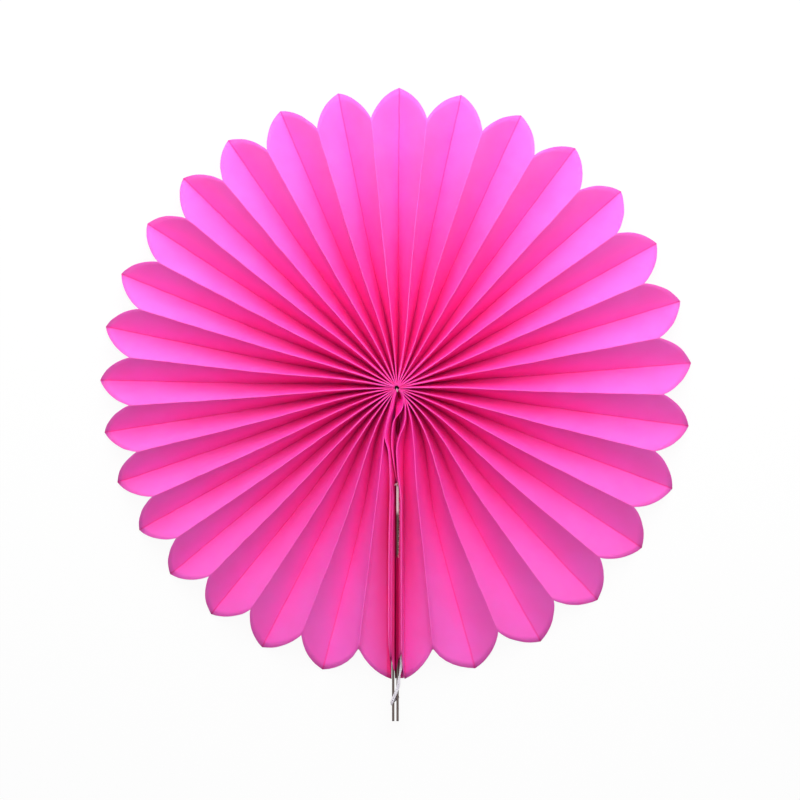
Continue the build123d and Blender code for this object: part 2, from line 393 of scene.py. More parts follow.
paper, paper_tree, paper_shader = new_material("hot pink craft paper", 0.8, shine=0.04)
paper_shader.inputs["Subsurface Weight"].default_value = 0.5
paper_shader.inputs["Subsurface Scale"].default_value = 0.2 * mm
paper_shader.inputs["Subsurface Radius"].default_value = (0.7, 0.25, 0.5)
across, upward, height = own_place(paper_tree)
from_hub = (across * across + upward * upward).calc("SQRT")
fold_mark = paper_tree.nodes.new("ShaderNodeAttribute")
fold_mark.attribute_name = "fold"
fold_side = Field(paper_tree, fold_mark.outputs["Fac"])

# Painted shade: towards the hub the pink turns deeper and darker. It stands for the shade and saturated
# bounce light in the deep, narrow pleats there.
body_colour = mix_colour(paper_tree, ramp(from_hub, 5 * mm, 140 * mm), hub_pink_painted_shade, rim_pink)
# Random blotches of uneven dye, mixed towards the same deep pink that paints the crease shade.
blotches = ramp(grain(paper_tree, 45, 3), 0.35, 0.7) * uneven_dye
body_colour = mix_colour(paper_tree, blotches, body_colour, crease_shade_and_dye_pink)
# Painted shade: over the sticks the seam's paper is a deeper, darker pink. It stands for the shade in the
# deep seam groove.
beside_seam = (across - wrap_middle).calc("ABSOLUTE")
in_wrap = fade(beside_seam, 3.6 * mm, 4.6 * mm, seam_shade_share) * fade(upward, -60 * mm, -30 * mm)
body_colour = mix_colour(paper_tree, in_wrap, body_colour, seam_shade_pink)
# Painted highlight with some wear: the crests are lighter pink where they catch the light, most near the
# hub and on the seam's wrap.
crest_highlight_and_wear = ramp(from_hub, 35 * mm, 95 * mm, crest_highlight_at_hub, crest_highlight_at_rim).calc("MAXIMUM", in_wrap * crest_highlight_in_wrap)
body_colour = mix_colour(paper_tree, ramp(fold_side, 0.975, 0.995) * crest_highlight_and_wear, body_colour, crest_highlight_and_wear_pink)
# Painted shade: the valley folds are a darker pink, more so towards the rim.
painted_crease_shade = fade(fold_side, 0.0, 0.045) * ramp(from_hub, 40 * mm, 150 * mm, crease_shade_at_hub, crease_shade_at_rim)
body_colour = mix_colour(paper_tree, painted_crease_shade, body_colour, crease_shade_and_dye_pink)
# Painted shade: dark red along the bottom of the seam groove, outward from the sticks' top ends, and in two
# spots below the crests, by the hub hole and down the seam near the hub.
painted_deep_shade = fade((across - deep_shade_middle).calc("ABSOLUTE"), 0.5 * mm, 1.9 * mm)
painted_deep_shade = painted_deep_shade * fade(height, 11 * mm, 16 * mm) * fade(upward, -52 * mm, -46 * mm)
below_crests = fade(height, 14.5 * mm, 17 * mm)
for x, y, half_width, half_length in deep_shade_spots:
    beside = (across - x * mm) / (half_width * mm)
    beyond = (upward - y * mm) / (half_length * mm)
    shade_spot = fade(beside * beside + beyond * beyond, 0.5, 1.0)
    painted_deep_shade = painted_deep_shade.calc("MAXIMUM", shade_spot * below_crests)
body_colour = mix_colour(paper_tree, painted_deep_shade, body_colour, painted_shade_red)
paper_tree.links.new(body_colour, paper_shader.inputs["Base Color"])
bump(paper_shader, grain(paper_tree, 2600, 3, 0.6), 0.12, 0.1 * mm)


def grown_mesh(tree, name, seed_mesh, inputs):
    """Plain mesh that a tree makes from a starting mesh, with the tree's inputs set first."""
    holder = bpy.data.objects.new(name, seed_mesh)
    bpy.context.scene.collection.objects.link(holder)
    modifier = holder.modifiers.new("grow", "NODES")
    modifier.node_group = tree
    for item in tree.interface.items_tree:
        if item.in_out == "INPUT" and item.name in inputs:
            modifier[item.identifier] = inputs[item.name]
    evaluated = holder.evaluated_get(bpy.context.evaluated_depsgraph_get())
    mesh = bpy.data.meshes.new_from_object(evaluated)
    holder.modifiers.remove(modifier)
    bpy.data.objects.remove(holder)
    return mesh


sheet_mesh = grown_mesh(sheet_tree, "sheet seed", bpy.data.meshes.new("sheet seed"), {"Paper": paper})

# The seam: the sheet's two ends meet at the bottom. Each end pleat closes over a stick's front edge and
# its last strip hangs down between the sticks. Above the sticks the loose ends have buckled forward.
# Folds here follow the hand-made bends, given as distance from the hub and place across, in millimetres.
left_seam_drop = 13 * mm
right_seam_drop = 15 * mm


def bent(points):
    """Smooth line through (distance from the hub, value) points, in millimetres."""
    at = np.array([p[0] for p in points], float)
    value = np.array([p[1] for p in points], float)
    steep = np.diff(value) / np.diff(at)
    slope = np.zeros(len(at))
    slope[0], slope[-1] = steep[0], steep[-1]
    same_way = steep[:-1] * steep[1:] > 0
    slope[1:-1][same_way] = 2 / (1 / steep[:-1][same_way] + 1 / steep[1:][same_way])

    def read(distance):
        distance = min(max(distance, at[0]), at[-1])
        index = min(max(int(np.searchsorted(at, distance)) - 1, 0), len(at) - 2)
        gap = at[index + 1] - at[index]
        part = (distance - at[index]) / gap
        first = value[index] * (1 + 2 * part) + slope[index] * gap * part
        second = value[index + 1] * (3 - 2 * part) - slope[index + 1] * gap * (1 - part)
        return first * (1 - part) ** 2 + second * part**2

    return read


def level(height):
    return lambda distance: height


crest_line = bent([(1, 17.6), (10, 18.6), (50, 19.0), (150, 19.0)])
ridge_line = bent([(1, 17.6), (40, 18.4), (90, 15.5), (135, 10.6)])
left_ridge_x = bent(
    [(1.1, -0.3), (6.2, -2.2), (11.4, -3.3), (17, -4.7), (22, -5.8), (25.3, -6.3), (28.3, -6.75)]
    + [(33.2, -7.25), (45, -8.5), (82.5, -13), (134, -19)]
)
left_valley_x = bent(
    [(1.1, -0.25), (10, -2.6), (25, -5.8), (32, -4.5), (40, -2.9), (50, -2.35), (150, -2.3)]
)
left_crest_x = bent(
    [(1.1, -0.2), (6, -1.5), (10.2, -2.35), (15.2, -3.8), (20.1, -5.05), (23.7, -5.7), (26.6, -5.75)]
    + [(28.3, -5.2), (31.8, -4.05), (37.2, -3.6), (45.3, -3.2), (51, -3.15), (75, -3.65), (122, -3.85)]
    + [(131, -3.5), (137, -2.75), (150, -2.4)]
)
left_crest_z = bent(
    [(1, 17.6), (10, 18.6), (50, 19.0), (122, 19.0), (131, 17.5), (137, 13.5), (150, 11.0)]
)
left_fold_x = bent([(1.1, 0), (8, -0.5), (15, -1.6), (24, -2.4), (36, -1.6), (48, -0.63), (150, -0.63)])
left_fold_z = bent([(1.1, 10), (8, 7), (20, 8), (36, 9.5), (48, 10.55), (150, 10.55)])
left_end_x = bent(
    [(1.1, 0.5), (4, 2.4), (8, 2.6), (14, 1), (24, -1), (40, -0.8), (50, -0.45), (150, -0.45)]
)
left_end_z = bent([(1.1, 4), (12, 3.5), (30, 2), (50, 1.2), (150, 1.2)])
flap_x = bent(
    [(1.1, 0.7), (4, 2.6), (8, 2.8), (14, 1.2), (24, -0.8), (40, -0.6), (48, 1.6), (54, 3.1)]
    + [(100, 3.4), (150, 3.95)]
)
crease_split = bent([(1, 0), (46, 0), (56, 1), (120, 1), (137, 0.15), (150, 0)])
left_valley_z = bent([(1, 0), (18, 3), (26, 10), (40, 10), (60, 5), (90, 0), (150, 0)])

right_ridge_x = bent(
    [(1.1, 0.66), (3, 2.1), (7.7, 4.5), (12.4, 5.9), (17.9, 7.25), (25.6, 8.2), (33.6, 8.95)]
    + [(45, 9.6), (87.6, 14), (134, 18.6)]
)
right_valley_x = bent(
    [(1.1, 0.63), (5.6, 3.9), (10.5, 4.9), (15, 5.6), (20, 5.2), (25, 4.4), (32, 3.6), (50, 3.6)]
    + [(100, 3.8), (150, 4.4)]
)
right_valley_z = bent([(1, 9), (12, 9), (25, 6), (45, 3), (75, 0), (150, 0)])
right_crest_x = bent(
    [(1.1, 0.6), (2.3, 1.6), (5.6, 3.4), (10.5, 4.3), (14.8, 4.35), (19.9, 3.45), (23.3, 1.85)]
    + [(27.8, 0.5), (32.4, 0.05), (37, 0.3), (44, 0.75), (50.7, 1.75), (58, 2.3), (86.5, 2.4)]
    + [(133, 2.6), (150, 2.6)]
)
trough_x = bent(
    [(1.1, 0.5), (5, 2.6), (10, 3.4), (14, 2.2), (18, 0.9), (24, 0.2), (30, -0.6), (38, -0.5)]
    + [(46, 0.6), (52, 1.15), (150, 1.15)]
)
trough_z = bent(
    [(1.1, 12), (5, 9), (12, 3), (20, 1), (30, 3), (40, 8), (46, 10.6), (52, 11.0), (150, 11.0)]
)
ribbon_x = bent(
    [(1.1, 0.55), (2.1, 1.5), (3.8, 2.5), (7.2, 3.35), (10.8, 2.7), (13.2, 0.9), (16.5, -1.4)]
    + [(21.6, -2.25), (28, -2.5), (34.8, -1.8), (41.6, -0.85), (47, -0.2), (50, -0.1), (150, -0.03)]
)
ribbon_z = bent(
    [(1.1, 16.5), (4, 17.5), (10, 18), (36, 17.5), (42, 15), (46.5, 12), (50, 10.55), (150, 10.55)]
)
right_end_x = bent(
    [(1.1, 0.1), (1.8, -0.25), (7.3, -0.4), (14.3, -0.7), (16.6, -1.3), (22, -1.9), (30, -1.9)]
    + [(40, -0.9), (48, -0.1), (150, -0.1)]
)
right_end_z = bent(
    [(1.1, 3), (5, 3), (7, 8), (10, 13.5), (15, 14.5), (18, 11), (24, 8), (36, 4.5), (50, 3.2)]
    + [(150, 3.2)]
)
crest_width = level(0.26)
ribbon_width = bent([(1, 0.26), (40, 0.26), (48, 0.08), (150, 0.08)])


def seam_line(x_line, z_line, width=level(0), aside=0.0, down=0.0):
    """Fold that runs down beside the sticks, as a point for each distance from the hub."""

    def at(radius):
        distance = radius / mm
        x = x_line(distance) + aside * width(distance)
        y = -sqrt(max(distance * distance - x * x, (0.5 * distance) ** 2))
        z = z_line(distance) - down * width(distance)
        inward = max(1 - radius / tip_radius, 0)
        return Vector((x * mm + hub_aside * inward, y * mm - hub_down * inward, z * mm))

    return at


crest_shoulders = ((-1, 1.2, 0.95), (-0.7, 0.3, 0.98), (0, 0, 1), (0.7, 0.3, 0.98), (1, 1.2, 0.95))


def over_crest(x_line, z_line, width, drop, rise=1.0, steps=6):
    """Rails over a crest from left to right: two shoulders on each side of its top."""
    return [
        (seam_line(x_line, z_line, width, aside, down), fold, rise, drop, steps)
        for aside, down, fold in crest_shoulders
    ]


def cut_radius(rise, drop):
    """Way out to the curved cut through the folded stack, for a point that far up a pleat."""
    run = rise * pleat_depth / rim_curve + sin(rim_lean)
    full = rim_curve * (cos(rim_lean) - sqrt(max(1 - run * run, 0)))
    return tip_radius - full * drop / notch_drop


sheet = bmesh.new()
sheet.from_mesh(sheet_mesh)
fold_layer = sheet.verts.layers.float["fold"]
number_layer = sheet.verts.layers.float["number"]
reach_layer = sheet.verts.layers.float["reach"]


def sheet_edge(number):
    """Vertices of the grown sheet along one of its end folds, from the hub outwards."""
    found = [v for v in sheet.verts if abs(v[number_layer] - number) < 0.001]
    return sorted(found, key=lambda v: v[reach_layer])


def edge_line(number):
    """The grown sheet's end fold as a point for each distance from the hub."""
    line = [v.co.copy() for v in sheet_edge(number)]
    hub = Vector((hub_aside, -hub_down))
    radii = [(point.xy - hub * max(1 - point.xy.length / tip_radius, 0)).length for point in line]

    def at(radius):
        return Vector([float(np.interp(radius, radii, [p[axis] for p in line])) for axis in range(3)])

    return at


def sew(rails, edge, gap=None):
    """Strips between rails, each (line, fold, rise, rim drop, steps), sewn to the sheet's end fold.

    A gap is (first rail, last rail, nearest, farthest). The strips between its rails are left out
    between its two distances from the hub.
    """
    columns = [sheet_edge(edge)]
    left_out = set()
    for number, (before, after) in enumerate(zip(rails, rails[1:])):
        steps = after[4]
        for step in range(1, steps + 1):
            part = step / steps
            fold, rise, drop = [before[k] + (after[k] - before[k]) * part for k in (1, 2, 3)]
            column = []
            for row in range(length_steps + 1):
                way = (row / length_steps) ** outward_growth
                radius = open_hub + (cut_radius(rise, drop) - open_hub) * way
                vert = sheet.verts.new(before[0](radius).lerp(after[0](radius), part))
                vert[fold_layer] = fold
                column.append(vert)
                if gap and gap[0] <= number < gap[1] and gap[2] < radius < gap[3]:
                    left_out.add((len(columns), row))
            columns.append(column)
    for number, (before, after) in enumerate(zip(columns, columns[1:]), 1):
        for row in range(length_steps):
            if (number, row) in left_out and (number, row + 1) in left_out:
                continue
            corners = (before[row], after[row], after[row + 1], before[row + 1])
            sheet.faces.new(corners if edge == last_fold else corners[::-1])


def past_crest(together, apart):
    """Way across from the left wrap's crease, together where it is one crease and apart where it is two."""
    return lambda distance: (
        left_crest_x(distance) + crest_width(distance) + together + apart * crease_split(distance)
    )


def below_crest(together, apart):
    return lambda distance: left_crest_z(distance) - together - apart * crease_split(distance)


dip_x = past_crest(0.1, 0.6)
dip_z = below_crest(0.9, 5)
second_crest_x = past_crest(0.15, 1.2)
second_crest_z = below_crest(0.9, 0.3)
foot_past_second = 0.45
foot_height = 11.2


def foot_x(distance):
    """Foot of the second crease, where the paper meets the stick's front edge."""
    straight = (second_crest_x(distance) + left_fold_x(distance)) / 2
    return straight + (second_crest_x(distance) + foot_past_second - straight) * crease_split(distance)


def foot_z(distance):
    straight = (second_crest_z(distance) + left_fold_z(distance)) / 2
    return straight + (foot_height - straight) * crease_split(distance)


left_rails = [(edge_line(first_fold), 0.0, 0.0, notch_drop, 1)]
left_rails += over_crest(left_ridge_x, ridge_line, crest_width, notch_drop)
left_rails.append((seam_line(left_valley_x, left_valley_z), 0.0, 0.0, left_seam_drop, 6))
left_rails += over_crest(left_crest_x, left_crest_z, crest_width, left_seam_drop)
left_rails.append((seam_line(dip_x, dip_z), 0.9, 1.0, left_seam_drop, 1))
left_rails.append((seam_line(second_crest_x, second_crest_z), 0.985, 0.9, left_seam_drop, 1))
left_rails.append((seam_line(foot_x, foot_z), 0.7, 0.68, left_seam_drop, 3))
left_rails.append((seam_line(left_fold_x, left_fold_z), 0.6, 0.6, left_seam_drop, 2))
left_rails.append((seam_line(left_end_x, left_end_z), 0.3, 0.1, left_seam_drop, 5))
left_rails.append((seam_line(flap_x, left_end_z), 0.3, 0.1, left_seam_drop, 3))

# Over the right stick the wrap has torn: from just under the stick's top end the paper is gone from the
# stick's front edge for 36 mm. Its torn edge is ragged, with the white core of the sheet showing.
tear_start = 47.5
tear_end = 87
tear_margin = 1.5
torn_edge_most = 0.5
teeth_per_mm = 0.31
teeth_pick = 4.7


def torn_share(distance):
    """How far up the wrap its ragged edge lies: nothing where the wrap is whole."""
    if not tear_start - tear_margin < distance < tear_end + tear_margin:
        return 0.0
    ragged = 0.5 + 0.5 * noise(Vector((distance * teeth_per_mm, teeth_pick, 0)))
    return torn_edge_most * ragged


def torn_x(distance):
    return trough_x(distance) + (right_crest_x(distance) - trough_x(distance)) * torn_share(distance)


def torn_z(distance):
    return trough_z(distance) + (crest_line(distance) - trough_z(distance)) * torn_share(distance)


right_rails = [(edge_line(last_fold), 0.0, 0.0, notch_drop, 1)]
right_rails += over_crest(right_ridge_x, ridge_line, crest_width, notch_drop)[::-1]
right_rails.append((seam_line(right_valley_x, right_valley_z), 0.0, 0.0, right_seam_drop, 6))
right_rails += over_crest(right_crest_x, crest_line, crest_width, right_seam_drop)[::-1]
right_rails.append((seam_line(torn_x, torn_z), 0.6, 0.87, right_seam_drop, 6))
tear_rail = len(right_rails) - 1
right_rails += over_crest(ribbon_x, ribbon_z, ribbon_width, right_seam_drop, rise=0.55, steps=5)[::-1]
ribbon_rail = len(right_rails) - 1
right_rails.append((seam_line(right_end_x, right_end_z), 0.3, 0.05, right_seam_drop, 5))


def one_step_over(rails):
    """The same rails with single steps between the shoulders of each crest."""
    out = rails[:1]
    for before, after in zip(rails, rails[1:]):
        same_crest = before[1] > 0.94 and after[1] > 0.94
        out.append(after[:4] + ((1,) if same_crest else after[4:]))
    return out


sew(one_step_over(left_rails), first_fold)
sew(one_step_over(right_rails), last_fold, (tear_rail, ribbon_rail, tear_start * mm, tear_end * mm))
for edge in sheet.edges:
    edge.smooth = not all(vert[fold_layer] < 0.001 for vert in edge.verts)
bmesh.ops.recalc_face_normals(sheet, faces=sheet.faces)
sheet.to_mesh(sheet_mesh)
sheet.free()
sheet_mesh.materials.clear()
sheet_mesh.materials.append(paper)
for polygon in sheet_mesh.polygons:
    polygon.use_smooth = True
    polygon.material_index = 0


def link(name, mesh, slot, *stands_for):
    """Piece that rides on the one body and hides the nodes that it stands for. Its finish slot is not used.
    """
    piece = bpy.data.objects.new(name, mesh)
    bpy.context.scene.collection.objects.link(piece)
    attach(piece, "root")
    if stands_for:
        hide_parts(*stands_for)
    return piece


pleated = link("pleated_paper_sheet", sheet_mesh, "pink_paper", "pleated_paper")
wall = pleated.modifiers.new("paper", "SOLIDIFY")
wall.thickness = paper_thickness
wall.offset = 0

core_white = (0.90, 0.84, 0.86, 1)
core_pink = (0.86, 0.36, 0.58, 1)
core, core_tree, core_shader = new_material("torn paper core", 0.95)
core_colour = mix_colour(core_tree, grain(core_tree, 1800, 2), core_white, core_pink)
core_tree.links.new(core_colour, core_shader.inputs["Base Color"])

fibre_tree = bpy.data.node_groups.new("torn fibres", "GeometryNodeTree")
fibre_sizes = {
    "Fibre gap": 0.22 * mm,
    "Fibre radius": 0.09 * mm,
    "Fibre length": 0.8 * mm,
    "Shortest share": 0.3,
    "Longest share": 1.2,
    "Spread": 1.1,
    "Lean": 1.3,
}
lean_seed = 3
length_seed = 5
fibre_tree.interface.new_socket("Geometry", in_out="INPUT", socket_type="NodeSocketGeometry")
for label, value in fibre_sizes.items():
    socket = fibre_tree.interface.new_socket(label, in_out="INPUT", socket_type="NodeSocketFloat")
    socket.default_value = value
fibre_tree.interface.new_socket("Core", in_out="INPUT", socket_type="NodeSocketMaterial")
fibre_tree.interface.new_socket("Geometry", in_out="OUTPUT", socket_type="NodeSocketGeometry")
fibre_in = fibre_tree.nodes.new("NodeGroupInput")
fibre_out = fibre_tree.nodes.new("NodeGroupOutput")
fibre_size = {label: fibre_in.outputs[label] for label in fibre_sizes}
torn_path = add_node(fibre_tree, "GeometryNodeMeshToCurve", Mesh=fibre_in.outputs["Geometry"])
spaced = fibre_tree.nodes.new("GeometryNodeResampleCurve")
spaced.mode = "LENGTH"
fibre_tree.links.new(torn_path.outputs[0], spaced.inputs["Curve"])
fibre_tree.links.new(fibre_size["Fibre gap"], spaced.inputs["Length"])
fibre = add_node(
    fibre_tree,
    "GeometryNodeMeshCone",
    Vertices=4,
    Radius_Bottom=fibre_size["Fibre radius"],
    Depth=fibre_size["Fibre length"],
)
turned = fibre_tree.nodes.new("FunctionNodeRandomValue")
turned.data_type = "FLOAT_VECTOR"
spread = Field(fibre_tree, fibre_size["Spread"])
lean = Field(fibre_tree, fibre_size["Lean"])
for slot, way in ((turned.inputs[0], -1), (turned.inputs[1], 1)):
    limit = fibre_tree.nodes.new("ShaderNodeCombineXYZ")
    fibre_tree.links.new((spread * way).socket, limit.inputs["X"])
    fibre_tree.links.new((spread * way * 0.5 - lean).socket, limit.inputs["Y"])
    fibre_tree.links.new(limit.outputs[0], slot)
turned.inputs["Seed"].default_value = lean_seed
scaled = fibre_tree.nodes.new("FunctionNodeRandomValue")
fibre_tree.links.new(fibre_size["Shortest share"], scaled.inputs[2])
fibre_tree.links.new(fibre_size["Longest share"], scaled.inputs[3])
scaled.inputs["Seed"].default_value = length_seed
tufts = add_node(
    fibre_tree,
    "GeometryNodeInstanceOnPoints",
    Points=spaced.outputs[0],
    Instance=fibre.outputs["Mesh"],
    Rotation=turned.outputs[0],
    Scale=scaled.outputs[1],
)
solid_tufts = add_node(fibre_tree, "GeometryNodeRealizeInstances", Geometry=tufts.outputs[0])
tuft_finish = add_node(fibre_tree, "GeometryNodeSetMaterial", Geometry=solid_tufts.outputs[0])
fibre_tree.links.new(fibre_in.outputs["Core"], tuft_finish.inputs["Material"])
fibre_tree.links.new(tuft_finish.outputs[0], fibre_out.inputs["Geometry"])

torn_line = seam_line(torn_x, torn_z)
path_points = [torn_line((tear_start + step) * mm) for step in range(int(tear_end - tear_start) + 1)]
path_edges = [(step, step + 1) for step in range(len(path_points) - 1)]
lip_rows = 4
lip_points = 8
lip_start = Vector((1.0, -49, 12.4)) * mm
lip_row_step = Vector((0, -0.2, 0)) * mm
lip_step = Vector((-0.4, -0.22, -0.1)) * mm
for row in range(lip_rows):
    start = len(path_points)
    path_points += [lip_start + lip_row_step * row + lip_step * step for step in range(lip_points)]
    path_edges += [(start + step, start + step + 1) for step in range(lip_points - 1)]
path_mesh = bpy.data.meshes.new("torn edge")
path_mesh.from_pydata(path_points, path_edges, [])
link("torn_fibres", grown_mesh(fibre_tree, "torn edge", path_mesh, {"Core": core}), "pink_paper")

# The sticks: two strips of grey board on edge, glued inside the end pleats. The board is darker towards
# its faces. Where the wrap tore off, the right stick's front near its top end is the board's white back
# layer, brightened as painted highlight where light from the top reaches it.
seam_middle = -0.33 * mm
stick_middle = 1.1 * mm
half_board = 0.575 * mm
dark_board = (0.08, 0.06, 0.05, 1)
light_board = (0.25, 0.20, 0.18, 1)
board_face_dark = (0.055, 0.032, 0.035, 1)
white_layer_and_highlight = (0.98, 0.95, 0.96, 1)
face_edge_wander = 0.3
board, board_tree, board_shader = new_material("layered grey board", 0.85)
board_x, board_y, board_z = own_place(board_tree)
from_board_middle = ((board_x - seam_middle).calc("ABSOLUTE") - stick_middle).calc("ABSOLUTE") / half_board
fibres = grain(board_tree, 900, 4, 0.6, (1.0, 0.12, 0.5))
board_colour = mix_colour(board_tree, fibres, dark_board, light_board)
# The board is darker towards its two faces.
dark_face = ramp(from_board_middle + fibres * face_edge_wander, 0.45, 1.0)
board_colour = mix_colour(board_tree, dark_face, board_colour, board_face_dark)
# Painted highlight on the board's white back layer: the right stick's front near its top end is near full
# white.
near_top_end = ramp(board_y, -66 * mm, -63 * mm)
on_front = ramp(board_z, 9.9 * mm, 10.1 * mm)
on_right = ramp(board_x, 0, 0.1 * mm)
board_colour = mix_colour(board_tree, near_top_end * on_front * on_right, board_colour, white_layer_and_highlight)
board_tree.links.new(board_colour, board_shader.inputs["Base Color"])
bump(board_shader, grain(board_tree, 1500, 4, 0.6, (1.0, 0.2, 0.6)), 0.4, 0.2 * mm)
for name in ("left_stick", "right_stick"):
    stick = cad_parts[name]
    stick.data.materials.clear()
    stick.data.materials.append(board)

# The tie string: soft white cotton of four strands. It comes out of the right end pleat, crosses the
# sticks, goes round their left edge and ends in a small knot behind them.
cotton_shade = (0.78, 0.72, 0.83, 1)
cotton_white = (0.97, 0.96, 0.99, 1)
cotton, cotton_tree, cotton_shader = new_material("white cotton string", 0.9)
cotton_colour = mix_colour(cotton_tree, grain(cotton_tree, 900, 3), cotton_shade, cotton_white)
cotton_tree.links.new(cotton_colour, cotton_shader.inputs["Base Color"])
bump(cotton_shader, grain(cotton_tree, 3200, 3), 0.35, 0.1 * mm)
string_strands = 4
string_lay = 5.0 * mm
string_half_width = 1.2 * mm
string_half_height = 0.3 * mm
string_step = 0.3 * mm
sticks_middle = Vector((seam_middle, 0, 6.2 * mm))
string_fullness = (
    ((0, 0.6), (0.17, 0.45), (0.27, 0.85), (0.36, 0.8))
    + ((0.44, 0.35), (0.5, 0.9), (0.56, 1), (1, 0.85))
)
string_route = (
    [(2.0, -126, 12.6), (2.2, -131, 13.2), (2.5, -135.5, 13.4), (2.75, -140.5, 12.2)]
    + [(2.0, -145.5, 11.0), (1.4, -148.5, 10.7), (1.4, -151.5, 10.6), (-0.1, -155.2, 10.6)]
    + [(-1.9, -159.6, 10.65), (-2.42, -161, 10.1), (-2.38, -161.6, 6.2), (-2.38, -161.8, 2.3)]
    + [(-1.8, -161.4, 1.75), (-0.4, -160.2, 1.6), (0.3, -159.4, 1.3)]
)
short_end_route = [(0.6, -160, 1.2), (0.9, -161.5, 0.9), (0.8, -163.5, 0.6), (0.95, -165.5, 0.52)]
knot_middle = Vector((0.3, -159.4, 1.15)) * mm


def curve_points(route, name):
    """Points along a smooth curve that the route's points steer, in metres."""
    curve = bpy.data.curves.new(name, "CURVE")
    curve.dimensions = "3D"
    spline = curve.splines.new("NURBS")
    spline.points.add(len(route) - 1)
    for point, (x, y, z) in zip(spline.points, route):
        point.co = (x * mm, y * mm, z * mm, 1)
    spline.order_u = 3
    spline.use_endpoint_u = True
    spline.resolution_u = 16
    holder = bpy.data.objects.new(name, curve)
    bpy.context.scene.collection.objects.link(holder)
    evaluated = holder.evaluated_get(bpy.context.evaluated_depsgraph_get())
    line = bpy.data.meshes.new_from_object(evaluated)
    found = [vert.co.copy() for vert in line.vertices]
    bpy.data.objects.remove(holder)
    return found


def even_points(points, step):
    """The same line with its points an even step apart."""
    run = np.concatenate([[0.0], np.cumsum([(b - a).length for a, b in zip(points, points[1:])])])
    count = max(int(run[-1] / step), 8)
    marks = np.linspace(0, run[-1], count + 1)
    columns = [np.interp(marks, run, [p[axis] for p in points]) for axis in range(3)]
    return [Vector(values) for values in zip(*columns)]


def tube(target, points, half_thickness, sides=8, end_share=0.55):
    """Closed round tube along points, drawn in at its ends."""
    normal = Vector((0, 0, 1))
    rings = []
    last = len(points) - 1
    for index, point in enumerate(points):
        way = (points[min(index + 1, last)] - points[max(index - 1, 0)]).normalized()
        normal = (normal - way * normal.dot(way)).normalized()
        other = way.cross(normal)
        radius = half_thickness * (end_share if index in (0, last) else 1.0)
        ring = []
        for side in range(sides):
            turn = tau * side / sides
            ring.append(target.verts.new(point + (normal * cos(turn) + other * sin(turn)) * radius))
        rings.append(ring)
    for first, second in zip(rings, rings[1:]):
        for side in range(sides):
            following = (side + 1) % sides
            target.faces.new((first[side], first[following], second[following], second[side]))
    target.faces.new(rings[0][::-1])
    target.faces.new(rings[-1])


strand_rise = 0.45
strand_reach = 0.55
strand_of_pair = 0.6
strand_of_more = 0.75
plain_profile = ((0, 1), (1, 1))


def full_at(share, profile):
    """Value at a share of the length, from (share, value) pairs."""
    return float(np.interp(share, [pair[0] for pair in profile], [pair[1] for pair in profile]))


def twisted(target, points, strands, half_width, half_height, lay, middle=None, profile=plain_profile):
    """Strands laid round a line, each a tube, flattened against what lies in the middle."""
    normal = Vector((0.2, 0.1, 1)).normalized()
    lines = [[] for _ in range(strands)]
    travelled = 0.0
    last = len(points) - 1
    for index, point in enumerate(points):
        way = (points[min(index + 1, last)] - points[max(index - 1, 0)]).normalized()
        if middle:
            normal = Vector((point.x - middle.x, 0, point.z - middle.z))
        normal = (normal - way * normal.dot(way)).normalized()
        other = way.cross(normal)
        if index:
            travelled += (point - points[index - 1]).length
        full = full_at(index / last, profile)
        for number, line in enumerate(lines):
            turn = tau * (travelled / lay + number / strands)
            up = cos(turn) * half_height * strand_rise
            out = sin(turn) * half_width * strand_reach * full
            line.append(point + normal * up + other * out)
    for line in lines:
        tube(target, line, half_height * (strand_of_more if strands > 2 else strand_of_pair))


def knot_points(middle, width, tall, steps=60):
    """Closed overhand knot, pulled tight, as points round a small trefoil."""
    found = []
    for step in range(steps + 1):
        turn = tau * step / steps
        x = (sin(turn) + 2 * sin(2 * turn)) / 3
        y = (cos(turn) - 2 * cos(2 * turn)) / 3
        found.append(middle + Vector((x * width / 2, y * width / 2, -sin(3 * turn) * tall / 2)))
    return found


def finished_mesh(made, name, material):
    bmesh.ops.recalc_face_normals(made, faces=made.faces)
    mesh = bpy.data.meshes.new(name)
    made.to_mesh(mesh)
    made.free()
    mesh.materials.append(material)
    for polygon in mesh.polygons:
        polygon.use_smooth = True
    return mesh


string = bmesh.new()
twisted(
    string,
    even_points(curve_points(string_route, "string route"), string_step),
    string_strands,
    string_half_width,
    string_half_height,
    string_lay,
    sticks_middle,
    string_fullness,
)
tube(string, knot_points(knot_middle, 2.1 * mm, 0.6 * mm), 0.45 * mm)
tube(string, curve_points(short_end_route, "string end"), 0.5 * mm)
link("twisted_tie_string", finished_mesh(string, "tie string", cotton), "cotton_string", "tie_string")

# The hub thread: brown-grey thread drawn through the inner ends of the pleats and knotted, so that it
# gathers them round a hole no wider than a pin. Its frayed pale end lies in the hole.
# Painted shade in part: the thread's very dark brown stands for the shade deep in the hub hole.
dark_thread_brown = (0.10, 0.045, 0.05, 1)
frayed_pale = (0.72, 0.62, 0.60, 1)
thread_ring = 3.0
thread_height = 10.0
thread_strands = 2
thread_half = 0.34 * mm
thread_lay = 2.2 * mm
thread_step = 0.3 * mm
ring_points = 16
hub_knot = Vector((hub_aside, -hub_down, 9.2 * mm))
thread_finish, thread_tree, thread_shader = new_material("dark hub thread", 0.9)
frayed = ramp(own_place(thread_tree)[2], 15.5 * mm, 18.0 * mm)
thread_colour = mix_colour(thread_tree, frayed, dark_thread_brown, frayed_pale)
thread_tree.links.new(thread_colour, thread_shader.inputs["Base Color"])
bump(thread_shader, grain(thread_tree, 3200, 2), 0.3, 0.1 * mm)
ring_turns = [tau * step / ring_points for step in range(ring_points // 2, ring_points * 3 // 2 + 1)]
ring_route = [(thread_ring * sin(turn), thread_ring * cos(turn), thread_height) for turn in ring_turns]
